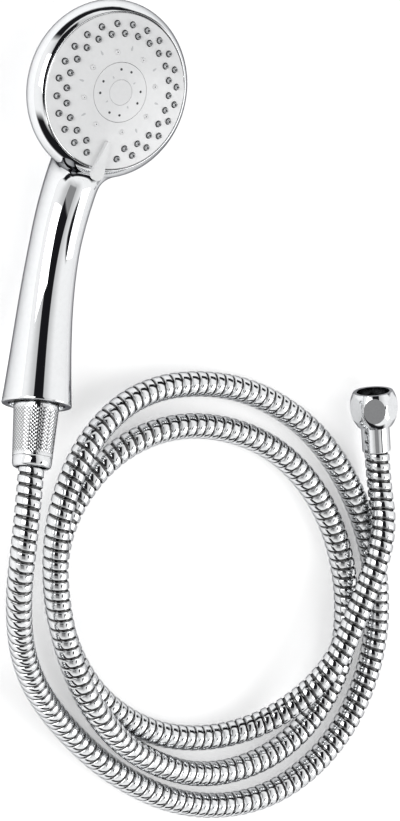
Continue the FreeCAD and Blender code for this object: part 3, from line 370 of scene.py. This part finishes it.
# ---------------------------------------------------------------- operators
class SHOWER_OT_stage(bpy.types.Operator):
    """Sets up the pale floor, the soft studio light and the camera."""

    bl_idname = "shower.stage"
    bl_label = "Stage"

    camera_right = (0.8329, 0.2343, 0.5014)
    camera_back = (-0.5301, 0.0775, 0.8444)
    camera_at = (-1.2615, 0.1089, 2.2055)
    # direction from the part to the middle of the flag over it, past the part from the camera
    overhead = (0.5301, -0.0775, 0.8444)
    floor_half = 6.0
    # name, place, side and power of each soft light
    lamps = (("soft_left", (-2.2, 0.2, 1.6), 1.6, 26.0),
             ("soft_right", (2.0, -0.4, 1.8), 1.6, 20.0))

    def execute(self, context):
        scene = context.scene
        right = Vector(self.camera_right).normalized()
        back = Vector(self.camera_back).normalized()
        up = back.cross(right).normalized()
        right = up.cross(back)
        data = bpy.data.cameras.new("camera")
        data.lens = scene.shower_sizes.lens
        data.sensor_width = 36.0
        data.clip_end = 20.0
        camera = bpy.data.objects.new("camera", data)
        scene.collection.objects.link(camera)
        turn = Matrix((right, up, back)).transposed().to_4x4()
        camera.matrix_world = Matrix.Translation(self.camera_at) @ turn
        scene.camera = camera
        scene.view_settings.view_transform = "Standard"

        half = self.floor_half
        corners = [(-half, -half, 0), (half, -half, 0), (half, half, 0), (-half, half, 0)]
        mesh = bpy.data.meshes.new("floor")
        mesh.from_pydata(corners, [], [(0, 1, 2, 3)])
        floor = bpy.data.objects.new("floor", mesh)
        scene.collection.objects.link(floor)
        material, tree, shader, place = new_finish("floor_paint")
        shader.inputs["Roughness"].default_value = 0.9
        noise = add_node(tree, "ShaderNodeTexNoise", Scale=3.0, Detail=2.0)
        tint = tuple(scene.shower_colours.floor)
        drift = place_group(tree, blend_group(), First=tint + (1.0,),
                            Second=tuple(c * 0.99 for c in tint) + (1.0,))
        tree.links.new(place, noise.inputs["Vector"])
        tree.links.new(noise.outputs["Fac"], drift.inputs["Mask"])
        tree.links.new(drift.outputs["Color"], shader.inputs["Base Color"])
        tree.links.new(drift.outputs["Color"], shader.inputs["Emission Color"])
        shader.inputs["Emission Strength"].default_value = 0.3
        mesh.materials.append(material)
        self.sky(scene, right, up, back)
        for name, place, size, power in self.lamps:
            lamp = bpy.data.lights.new(name, "AREA")
            lamp.shape = "SQUARE"
            lamp.size = size
            lamp.energy = power
            light = bpy.data.objects.new(name, lamp)
            light.location = place
            light.rotation_euler = (-Vector(place)).to_track_quat("-Z", "Y").to_euler()
            scene.collection.objects.link(light)
        return {"FINISHED"}

    def sky(self, scene, right, up, back):
        """A white studio with flags that draw the dark lines in the chrome: a tall black one,
        its greyer foot, a wide faint one behind it, one overhead and low ones past both ends.
        right, up and back are the camera's own directions, fixed when the sky is made."""
        world = bpy.data.worlds.new("studio")
        scene.world = world
        world.use_nodes = True
        tree = world.node_tree
        link = tree.links.new
        background = tree.nodes["Background"]
        background.inputs["Strength"].default_value = 1.0
        place = tree.nodes.new("ShaderNodeTexCoord").outputs["Generated"]

        def along(vector):
            dot = add_node(tree, "ShaderNodeVectorMath", operation="DOT_PRODUCT")
            dot.inputs[1].default_value = vector
            link(place, dot.inputs[0])
            return dot.outputs["Value"]

        def math_node(kind, first, second):
            node = add_node(tree, "ShaderNodeMath", operation=kind)
            for socket, value in zip(node.inputs, (first, second)):
                if isinstance(value, (int, float)):
                    socket.default_value = value
                else:
                    link(value, socket)
            return node.outputs[0]

        def band(value, low, high, soft):
            """1 between low and high, 0 outside, with soft edges."""
            rise = add_node(tree, "ShaderNodeMapRange", interpolation_type="SMOOTHSTEP")
            rise.inputs["From Min"].default_value = low - soft
            rise.inputs["From Max"].default_value = low + soft
            fall = add_node(tree, "ShaderNodeMapRange", interpolation_type="SMOOTHSTEP")
            fall.inputs["From Min"].default_value = high + soft
            fall.inputs["From Max"].default_value = high - soft
            link(value, rise.inputs["Value"])
            link(value, fall.inputs["Value"])
            return math_node("MULTIPLY", rise.outputs[0], fall.outputs[0])

        x, y, z = along(right), along(up), along(back)
        sideways = math_node("ARCTAN2", x, z)
        height, length = along((0.0, 0.0, 1.0)), along((0.0, 1.0, 0.0))
        middle = band(sideways, -0.16, 0.47, 0.04)

        def flag(across, over, density=1.0):
            """A flag where two bands cross, grey where its density is under 1."""
            return math_node("MULTIPLY", math_node("MULTIPLY", across, over), density)

        flags = [flag(middle, band(y, -0.38, 0.62, 0.06)),
                 flag(middle, band(y, -0.68, -0.3, 0.08), 0.74),
                 flag(band(sideways, -0.5, 0.75, 0.3), band(y, -0.8, 0.7, 0.15), 0.4),
                 band(along(self.overhead), 0.966, 2.0, 0.012),
                 flag(band(height, 0.02, 0.42, 0.05), band(length, 0.6, 2.0, 0.08)),
                 flag(band(height, 0.02, 0.36, 0.05), band(length, -2.0, -0.66, 0.08))]
        dark = flags[0]
        for shade in flags[1:]:
            dark = math_node("MAXIMUM", dark, shade)
        ramp = add_node(tree, "ShaderNodeValToRGB")
        ramp.color_ramp.elements[0].color = (1.12, 1.12, 1.12, 1)
        ramp.color_ramp.elements[1].color = (0.012, 0.012, 0.014, 1)
        link(dark, ramp.inputs["Fac"])
        link(ramp.outputs["Color"], background.inputs["Color"])


class SHOWER_OT_hose(bpy.types.Operator):
    """Winds the chromed strip of the hose along its route, round its inner tube."""

    bl_idname = "shower.hose"
    bl_label = "Hose"

    # one pitch of the strip: (share of the pitch, share of the groove's depth)
    strip = ((0.00, 1.0), (0.18, 1.0), (0.24, 0.75), (0.29, 0.12), (0.35, 0.0), (0.60, -0.04),
             (0.85, 0.0), (0.91, 0.14), (0.95, 0.7))
    around = 26
    # distances along the hose, in metres, between the read sides and between the path's points
    side_step, path_step = 0.0015, 0.004
    # how far below the ribs the strip's two tucked-in ends lie, in groove depths
    tuck = 1.6
    liner_radius = 5.0 * MM
    # the line's first two points, back from the handle's end, and its last two, back from the
    # hexagon nut's mouth
    cone_runs, hex_runs = (20.0, 62.0), (51.5, 24.5)

    def route(self):
        """Control points from inside the cone nut to inside the ferrule, in metres."""
        first = [HANDLE_END - back * MM * HANDLE_WAY for back in self.cone_runs]
        last = [HEX_MOUTH - back * MM * HEX_WAY for back in self.hex_runs]
        chosen = [np.array(point) * MM for point in HOSE_ROUTE]
        return first + chosen + last

    def centreline(self):
        """Points of the route's smooth NURBS line."""
        curve = bpy.data.curves.new("hose_route", "CURVE")
        curve.dimensions = "3D"
        spline = curve.splines.new("NURBS")
        points = self.route()
        spline.points.add(len(points) - 1)
        for point, place in zip(spline.points, points):
            point.co = (*place, 1.0)
        spline.order_u = 3
        spline.use_endpoint_u = True
        spline.resolution_u = 24
        holder = bpy.data.objects.new("hose_route", curve)
        bpy.context.scene.collection.objects.link(holder)
        bpy.context.view_layer.update()
        mesh = bpy.data.meshes.new_from_object(holder)
        line = np.empty(len(mesh.vertices) * 3)
        mesh.vertices.foreach_get("co", line)
        bpy.data.objects.remove(holder)
        bpy.data.curves.remove(curve)
        return line.reshape(-1, 3)

    def sides(self, line):
        """Two unit sides square to the line: a level one, tangent x (0, 0, 1), and one square
        to it, side x tangent."""
        tangent = np.gradient(line, axis=0)
        tangent /= np.linalg.norm(tangent, axis=1)[:, None]
        side = np.cross(tangent, [0.0, 0.0, 1.0])
        side /= np.linalg.norm(side, axis=1)[:, None]
        return side, np.cross(side, tangent)

    def execute(self, context):
        """Each row of points is one step of the strip's profile, wound on a helix: run length
        (turn + share - 1 + angle / 2 pi) * pitch, radius - groove depth * depth's share."""
        sizes = context.scene.shower_sizes
        line = self.centreline()
        steps = np.linalg.norm(np.diff(line, axis=0), axis=1)
        line = line[np.concatenate([[True], steps > 1e-7])]
        run = np.concatenate([[0], np.cumsum(np.linalg.norm(np.diff(line, axis=0), axis=1))])
        total = run[-1]
        count, around = len(self.strip), self.around
        turns = int(total / sizes.rib_pitch) + 2
        share, depth = np.array(self.strip).T
        rows = np.arange(turns * count)
        start = (rows // count + share[rows % count] - 1) * sizes.rib_pitch
        angle = np.arange(around) / around
        along = start[:, None] + angle[None, :] * sizes.rib_pitch
        radius = np.broadcast_to(
            sizes.hose_radius - sizes.rib_depth * depth[rows % count][:, None], along.shape).copy()
        inside = (along > 0) & (along < total)
        radius[~inside] = sizes.hose_radius - self.tuck * sizes.rib_depth
        along = np.clip(along, 0, total)
        even = np.arange(0, total, self.side_step)
        even_line = read_off(even, run, line)
        sides = self.sides(even_line)
        flat = along.ravel()
        centre = read_off(flat, run, line)
        side, up = (read_off(flat, even, part) for part in sides)
        turn = np.broadcast_to(angle * 2 * math.pi, along.shape).ravel()[:, None]
        points = centre + radius.ravel()[:, None] * (np.cos(turn) * side + np.sin(turn) * up)
        faces = grid_quads(len(rows), around, True, count)
        hose = new_piece("hose", points, faces, "hose_metal", "shower")
        # the strip's groove depth at each point, which the hose's finish turns into painted shade in the
        # grooves
        groove = hose.data.attributes.new("groove", "FLOAT", "POINT")
        groove.data.foreach_set("value", np.repeat(depth[rows % count], around).astype(np.float32))
        close_up(hose.data)
        hose.data.shade_smooth()
        hose.data.set_sharp_from_angle(angle=math.radians(40))
        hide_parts("hose_casing")
        liner = self.liner(even_line, sides)
        nodes = frame["nodes"]
        names = ("washer_cone_end", "tail_cone_end", "sleeve_cone_end",
                 "hex_nut", "ferrule_nut_end", "washer_nut_end", "tail_nut_end")
        pieces = [nodes[name] for name in names] + [liner]
        pieces += [bpy.data.objects[name] for name in ("cone_nut_knurled", "cone_nut_rim")]
        path = read_off(np.arange(0, total, self.path_step), run, line).tolist()
        path.append(line[-1].tolist())
        return {"FINISHED"}

    def liner(self, line, sides):
        """The inner tube: a round tube along every third point of the same line."""
        around = 14
        turn = np.linspace(0, 2 * math.pi, around, endpoint=False)[None, :, None]
        keep = slice(None, None, 3)
        side, up = (part[keep, None, :] for part in sides)
        ring = np.cos(turn) * side + np.sin(turn) * up
        points = line[keep, None, :] + self.liner_radius * ring
        piece = new_piece("hose_inner_tube", points.reshape(-1, 3),
                          grid_quads(len(points), around), "liner_plastic", "shower")
        close_up(piece.data)
        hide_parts("hose_liner")
        return piece


class SHOWER_OT_shell(bpy.types.Operator):
    """Shapes the chromed handle and head as one flowing shell."""

    bl_idname = "shower.shell"
    bl_label = "Handle and head"

    # handle against head: the head's tilt, and its rim's middle in the handle's own u and w
    tilt = math.radians(17.6)
    rim_u, rim_w = 163.5, 56.0
    # bowl: half axes of its ellipse; flank: height, lip radius and the cubic's three terms
    bowl_radius, bowl_depth = 48.0, 17.2
    flank_height, lip_radius = 8.8, 42.8
    flank_terms = (9.2, -2.8, -1.2)
    # handle: bend at the rim and its power, radius, flare at the end, and swell towards the head
    bend_at_rim, bend_power = 54.87, 3.5
    handle_radius, flare, flare_length, flare_power, swell = 13.9, 5.0, 88.0, 1.68, 0.02
    # u at which the handle's tube stops inside the head; past the u of front_from, the tube
    # also stays front_depth below the lip
    tube_end, front_from, front_depth = 164.0, 90.0, 3.0
    # blend at the lip, and the depths over which it grows to the full neck blend
    lip_blend, blend_from, blend_over = 2.5, 2.0, 10.0

    def flank_radius(self, t):
        """Radius of the flank at a share t of its height down from the lip: a cubic in t."""
        first, second, third = self.flank_terms
        return self.lip_radius + t * (first + t * (second + t * third))

    def head_distance(self, x, y, z):
        """Distance to the bowl: an ellipse behind the widest ring, e = (r/a)^2 + (z/b)^2 - 1 over
        its own slope, and the cubic flank from that ring to the lip."""
        r = np.hypot(x, y)
        deep = z + self.flank_height
        level = (r / self.bowl_radius) ** 2 + (deep / self.bowl_depth) ** 2 - 1
        steep = 2 * np.sqrt((r / self.bowl_radius ** 2) ** 2 + (deep / self.bowl_depth ** 2) ** 2)
        bowl = level / np.maximum(steep, 1e-4)
        t = np.clip(-z / self.flank_height, -0.2, 1)
        return np.where(deep < 0, bowl, r - self.flank_radius(t))

    def handle_form(self, u):
        """Bend and slope of the handle's axis at u, and the handle's radius there: the bend is
        a power of u, the radius is a constant plus a flare at the end and a swell after it."""
        u = np.clip(u, 0, 175)
        bend = self.bend_at_rim * (u / self.rim_u) ** self.bend_power
        slope = self.bend_power * bend / np.maximum(u, 1e-3)
        wide = np.clip(1 - u / self.flare_length, 0, 1) ** self.flare_power
        radius = self.handle_radius + self.flare * wide
        return bend, slope, radius + self.swell * np.clip(u - self.flare_length, 0, 90)

    def handle_distance(self, x, y, z):
        """Distance to the handle's tube, which ends inside the head."""
        c, s = math.cos(self.tilt), math.sin(self.tilt)
        u = self.rim_u + c * y - s * z
        w = self.rim_w + s * y + c * z
        bend, slope, radius = self.handle_form(u)
        tube = np.hypot(x, (w - bend) / np.hypot(1, slope)) - radius
        front = np.where(u > self.front_from, z + self.front_depth, -99.0)
        return np.maximum(tube, np.maximum(u - self.tube_end, front))

    def distance(self, points):
        """Smooth union of head and handle: min(a, b) - h^2 k / 4, h = 1 - |a - b| / k, where
        the blend k dies out towards the lip."""
        x, y, z = points.T
        a, b = self.head_distance(x, y, z), self.handle_distance(x, y, z)
        grown = smooth((-z - self.blend_from) / self.blend_over)
        k = self.lip_blend + (self.blend - self.lip_blend) * grown
        h = np.clip(1 - np.abs(a - b) / k, 0, 1)
        return np.minimum(a, b) - h * h * k / 4

    def settle(self, points, rounds=14):
        """Moves points onto the surface along the distance's gradient."""
        step = 0.02
        for _ in range(rounds):
            value = self.distance(points)
            slope = np.stack([(self.distance(points + step * axis)
                               - self.distance(points - step * axis)) / (2 * step)
                              for axis in np.eye(3)], 1)
            size = np.maximum((slope ** 2).sum(1), 0.05)
            points = points - np.clip(value / size, -3, 3)[:, None] * slope
        return points

    def bowl_point(self, share):
        """Radius and height on the bowl at a share of the way from its middle to the lip."""
        turn = np.linspace(0, math.pi / 2, 200)
        t = np.linspace(1, 0, 60)[1:]
        r = np.concatenate([self.bowl_radius * np.sin(turn), self.flank_radius(t)])
        z = np.concatenate([-self.flank_height - self.bowl_depth * np.cos(turn),
                            -self.flank_height * t])
        run = np.concatenate([[0], np.cumsum(np.hypot(np.diff(r), np.diff(z)))])
        share = np.clip(share, 0, 1) * run[-1]
        return np.interp(share, run, r), np.interp(share, run, z)

    def handle_ring(self, u, radius, angle):
        """Ring of a given radius round the handle's axis at u, in the head's frame."""
        bend, slope, _ = self.handle_form(np.array(u, float))
        c, s = math.cos(self.tilt), math.sin(self.tilt)
        w = bend + radius * np.hypot(1, slope) * np.cos(angle) - self.rim_w
        along = u - self.rim_u + 0 * w
        return np.stack([radius * np.sin(angle), c * along + s * w, -s * along + c * w], 1)

    def execute(self, context):
        self.blend = context.scene.shower_sizes.neck_blend / MM
        around = 200
        angle = np.linspace(0, 2 * math.pi, around, endpoint=False)
        # (radius, distance) from the handle's inside round its end's edge
        ends = [(15.2, 3.4), (15.2, 0.3), (15.3, 0.08), (15.5, 0.0), (18.3, 0.0), (18.62, 0.12)]
        rings = [self.handle_ring(u, r, angle) for r, u in ends]
        us = np.concatenate([[0.5], np.arange(1.5, 112.0, 1.25)])
        tube = [self.handle_ring(u, float(self.handle_form(np.array(u))[2]), angle) for u in us]
        # circles round an off-centre hole in a disc: z = (v + a) / (1 + a v), v = rho e^(i turn)
        a, rho0 = -0.5019, 0.3978
        bowl = []
        for rho in rho0 ** (1 - np.linspace(0, 1, 96) ** 0.9):
            v = rho * np.exp(1j * (math.pi - angle))
            flat = (v + a) / (1 + a * v)
            r, z = self.bowl_point(np.abs(flat))
            way = flat / np.maximum(np.abs(flat), 1e-9)
            bowl.append(np.stack([r * way.imag, r * way.real, z], 1))
        bridge = [tube[-1] + (bowl[0] - tube[-1]) * t for t in np.linspace(0, 1, 26)[1:-1]]
        body = self.settle(np.concatenate(tube + bridge + bowl[:-1]))
        # (radius, height) over the lip and down its inside
        lip = [(42.8, 0.0), (42.72, 0.05), (42.66, 0.06), (42.2, 0.06), (42.14, 0.05),
               (42.08, -0.02), (42.05, -4.0)]
        lips = [np.stack([r * np.sin(angle), -r * np.cos(angle), z + 0 * angle], 1) for r, z in lip]
        points = np.concatenate(rings + [body] + lips) * MM + HEAD_AT
        rows = len(points) // around
        faces = grid_quads(rows, around)[:, ::-1]
        shell = new_piece("shell", points, faces, "chrome_shell", "shower", sharp=38)
        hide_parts("body_shell")
        return {"FINISHED"}


class SHOWER_OT_cone_nut(bpy.types.Operator):
    """Cuts the diamond knurl of the cone nut, with its smooth rim and its thread."""

    bl_idname = "shower.cone_nut"
    bl_label = "Cone nut"

    # the knurled cone, by distance from the handle's end: where the knurl starts and stops, the
    # radius at its start and at full_length, and the radius that the diamonds are counted on
    top, low = -0.6, -28.2
    wide, narrow, full_length, mean_radius = 12.3, 10.6, 33.0, 11.6
    # thread: radius of its crests and roots, pitch, first turn and number of turns
    crest, root, thread_pitch, thread_from, thread_turns = 9.466, 10.628, 1.814, -9.2, 6
    thread_top = 0.7

    def execute(self, context):
        sizes = context.scene.shower_sizes
        pitch, depth = sizes.knurl_pitch / MM, sizes.knurl_depth / MM
        top, low = self.top, self.low
        around = 2 * int(round(2 * math.pi * self.mean_radius / pitch / 2)) * 2
        count = int(round((top - low) / pitch * 2)) | 1
        d = np.linspace(top, low, count)
        base = self.wide - (self.wide - self.narrow) * (top - d) / (self.full_length + top)
        i, j = np.meshgrid(np.arange(count), np.arange(around), indexing="ij")
        fade = smooth(np.minimum(i, count - 1 - i) / 3.0)
        bump = np.where((i + j) % 2 == 0, 0.0, -depth) * fade - depth * 0.2 * (1 - fade)
        radius = base[:, None] + bump
        way = HANDLE_WAY / np.linalg.norm(HANDLE_WAY)
        side = np.array([1.0, 0.0, 0.0])
        up = np.cross(way, side)
        angle = j * 2 * math.pi / around

        def ring_points(r, where, turn):
            """Points at radius r round the nut's axis, at a distance and a turn."""
            ray = np.cos(turn)[..., None] * side + np.sin(turn)[..., None] * up
            return (HANDLE_END + np.asarray(where)[..., None] * MM * way
                    + np.asarray(r)[..., None] * MM * ray).reshape(-1, 3)

        lattice = ring_points(radius, np.broadcast_to(d[:, None], radius.shape), angle)
        quads = grid_quads(count, around)
        odd = ((quads[:, 0] // around + quads[:, 0] % around) % 2 == 1)
        # each cell is split from valley to valley, so that every diamond is a pyramid
        first = np.where(odd[:, None], quads[:, [0, 1, 2]], quads[:, [0, 1, 3]])
        second = np.where(odd[:, None], quads[:, [0, 2, 3]], quads[:, [1, 2, 3]])
        tris = np.concatenate([first, second])
        rim = [(10.78, low - 0.15), (10.62, low - 0.35), (10.68, low - 0.6), (10.74, low - 1.2),
               (10.7, low - 2.6), (10.5, -32.4), (10.2, -33.2), (9.75, -33.7), (9.1, -34.0),
               (8.3, -34.0), (8.05, -33.8), (8.05, -14.1), (9.3, -14.1), (9.3, -10.0)]
        thread = []
        crest, root = self.crest, self.root
        for n in range(self.thread_turns):
            z = self.thread_from + n * self.thread_pitch
            thread += [(crest, z + 0.18), (root, z + 0.73), (root, z + 1.09), (crest, z + 1.63)]
        thread = [(r, z) for r, z in thread if z < self.thread_top]
        cap = [(root, self.thread_top), (root, 0.95), (10.8, 1.0), (11.7, 1.0), (12.1, 0.8), (12.2, 0.4),
               (12.2, -0.3), (12.05, -0.45)]
        profile = rim + thread + cap
        steps = 96
        turn = np.broadcast_to(np.arange(steps) * 2 * math.pi / steps, (len(profile), steps))
        r, z = (np.broadcast_to(part[:, None], turn.shape) for part in np.array(profile).T)
        smooth_part = ring_points(r, z, turn)
        knurl = new_piece("cone_nut_knurled", lattice, tris[:, ::-1], "chrome_nuts",
                          "cone_nut_body")
        knurl.data.shade_flat()
        # the depth of the knurl's valleys at each point, which the finish turns into painted shade along
        # the diamonds
        groove = knurl.data.attributes.new("groove", "FLOAT", "POINT")
        groove.data.foreach_set("value", (-bump / depth).ravel().astype(np.float32))
        rest = new_piece("cone_nut_rim", smooth_part, grid_quads(len(profile), steps)[:, ::-1],
                         "chrome_nuts", "cone_nut_body", sharp=32)
        for piece in (knurl, rest):
            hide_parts("cone_nut")
        return {"FINISHED"}


class SHOWER_OT_jets(bpy.types.Operator):
    """Sets the nozzles, black discs of painted shade in the jets' mouths and round the nozzles' feet,
    and the spray face's grey marks.
    """

    bl_idname = "shower.jets"
    bl_label = "Jets and marks"

    # the spray plate's radius, its height at the edge and the rise of its crown
    plate_radius, plate_edge, plate_rise = 41.8, 0.4, 5.6
    # distances of the jets from the middle
    outer_ring, inner_ring, mist_ring, massage_ring = 36.21, 31.10, 21.49, 12.2
    # sections as (share of the half width, share of the height)
    dome = ((1, 0), (1, 0.5), (0.7, 0.9), (0.3, 1))
    stub = ((1, -0.7), (1, 0.1), (0.95, 0.5), (0.84, 0.85), (0.7, 1), (0.45, 1))

    def crown(self, r):
        """Height of the spray plate's crown at a distance r: edge + rise * (1 - (r / R)^2)."""
        return self.plate_edge + self.plate_rise * (1 - (r / self.plate_radius) ** 2)

    def domes(self, places, name, slot, profile):
        """Low domes or stubs with a round or drop-shaped outline. places holds the distance,
        the degrees, the half width, the half length, the height and the lift of each."""
        turn = np.linspace(0, 2 * math.pi, 16, endpoint=False)
        share, level = np.array(profile, float).T
        points, faces = [], []
        for r, degrees, half, length, height, lift in places:
            across = half * np.sin(turn) * (1 - (0.0 if half == length else 0.45) * np.cos(turn))
            x = share[:, None] * across
            y = r + share[:, None] * length * np.cos(turn)
            ground = np.hypot(x, y) if half != length else r + 0 * x
            z = self.crown(ground) + lift + (level * height)[:, None]
            a = math.radians(degrees)
            ring = np.stack([x * math.cos(a) + y * math.sin(a),
                             y * math.cos(a) - x * math.sin(a), z], -1).reshape(-1, 3)
            middle = np.array([[r * math.sin(a), r * math.cos(a), self.crown(r) + lift + height]])
            base = sum(len(p) for p in points)
            around = len(turn)
            quads = grid_quads(len(share), around)[:, ::-1] + base
            faces.extend(quads.tolist())
            top = base + (len(share) - 1) * around
            faces.extend([[top + (k + 1) % around, top + k, base + len(ring)]
                          for k in range(around)])
            faces.append([base + k for k in range(around)])
            points += [ring, middle]
        mesh = bpy.data.meshes.new(name)
        mesh.from_pydata((np.concatenate(points) * MM + HEAD_AT).tolist(), [], faces)
        mesh.shade_smooth()
        piece = bpy.data.objects.new(name, mesh)
        bpy.context.scene.collection.objects.link(piece)
        close_up(mesh)
        mesh.set_sharp_from_angle(angle=math.radians(50))
        mesh.materials.append(finish_for(slot))
        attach(piece, "spray_face")
        return piece

    def execute(self, context):
        outer = [(self.outer_ring, 15.0 * i) for i in range(24) if i != 12]
        inner = [(self.inner_ring, 15.0 * (i + 0.5)) for i in range(24) if i not in (11, 12)]
        massage = [(self.massage_ring, 2.5 + 90.0 * i + side)
                   for i in range(4) for side in (-15.0, 15.0)]
        mist = [(self.mist_ring, 26.3 + 45.0 * i) for i in range(8)]
        # painted shade: flat black discs stand in for the shade deep in the mouths of the nozzles, the
        # massage jets and the mist holes
        painted_shade_discs = [(r, a, 0.66, 0.66, 0.04, 1.69) for r, a in outer + inner]
        painted_shade_discs += [(r, a, 0.72, 0.72, 0.06, 0.0) for r, a in massage]
        painted_shade_discs += [(r, a, 0.48, 0.48, 0.06, 0.42) for r, a in mist]
        # painted shade: wide black discs under the plate show as a dark ring round the foot of each
        # nozzle
        painted_shade_discs += [(r, a, 1.88, 1.88, 0.05, -0.7) for r, a in outer + inner]
        self.domes(painted_shade_discs, "jet_openings", "dark_plastic", self.dome)
        nozzles = self.domes([(r, a, 1.46, 1.46, 1.7, 0.0) for r, a in outer + inner],
                             "nozzles", "nozzle_rubber", self.stub)
        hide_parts("nozzle_mat")
        marks = [(24.0, 3.8 + 45.0 * i, 0.55, 1.4, 0.08, 0.0) for i in range(8) if i != 4]
        marks += [(9.4, 47.5 + 90.0 * i, 0.4, 0.8, 0.08, 0.0) for i in range(4)]
        self.domes(marks, "face_marks", "grey_plastic", self.dome)
        return {"FINISHED"}


class SHOWER_OT_finishes(bpy.types.Operator):
    """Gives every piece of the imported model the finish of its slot."""

    bl_idname = "shower.finishes"
    bl_label = "Finishes"

    def execute(self, context):
        for part in frame["record"]["subparts"]:
            mesh = frame["nodes"][part["node"]].data
            mesh.materials.clear()
            mesh.materials.append(finish_for(part["material_slot"]))
        return {"FINISHED"}


class SHOWER_PT_panel(bpy.types.Panel):
    """Lists the shower's pieces and their sizes."""

    bl_idname = "SHOWER_PT_panel"
    bl_label = "Shower"
    bl_space_type = "VIEW_3D"
    bl_region_type = "UI"
    bl_category = "Shower"

    def draw(self, context):
        layout = self.layout
        for group in (context.scene.shower_sizes, context.scene.shower_colours):
            for name in group.bl_rna.properties.keys():
                if name not in ("rna_type", "name"):
                    layout.prop(group, name)
        for operator in OPERATORS:
            layout.operator(operator.bl_idname)


OPERATORS = (SHOWER_OT_stage, SHOWER_OT_finishes, SHOWER_OT_shell, SHOWER_OT_jets,
             SHOWER_OT_cone_nut, SHOWER_OT_hose)
CLASSES = (ShowerSizes, ShowerColours) + OPERATORS + (SHOWER_PT_panel,)


def register():
    """Registers the classes and hangs the two groups of values on the scene."""
    for item in CLASSES:
        bpy.utils.register_class(item)
    bpy.types.Scene.shower_sizes = bpy.props.PointerProperty(type=ShowerSizes)
    bpy.types.Scene.shower_colours = bpy.props.PointerProperty(type=ShowerColours)


def unregister():
    """Takes the groups and the classes away again."""
    del bpy.types.Scene.shower_colours
    del bpy.types.Scene.shower_sizes
    for item in reversed(CLASSES):
        bpy.utils.unregister_class(item)


def main():
    """Builds the whole shower."""
    register()
    for name in ("stage", "finishes", "shell", "jets", "cone_nut", "hose"):
        getattr(bpy.ops.shower, name)()


if __name__ == "__main__":
    main()
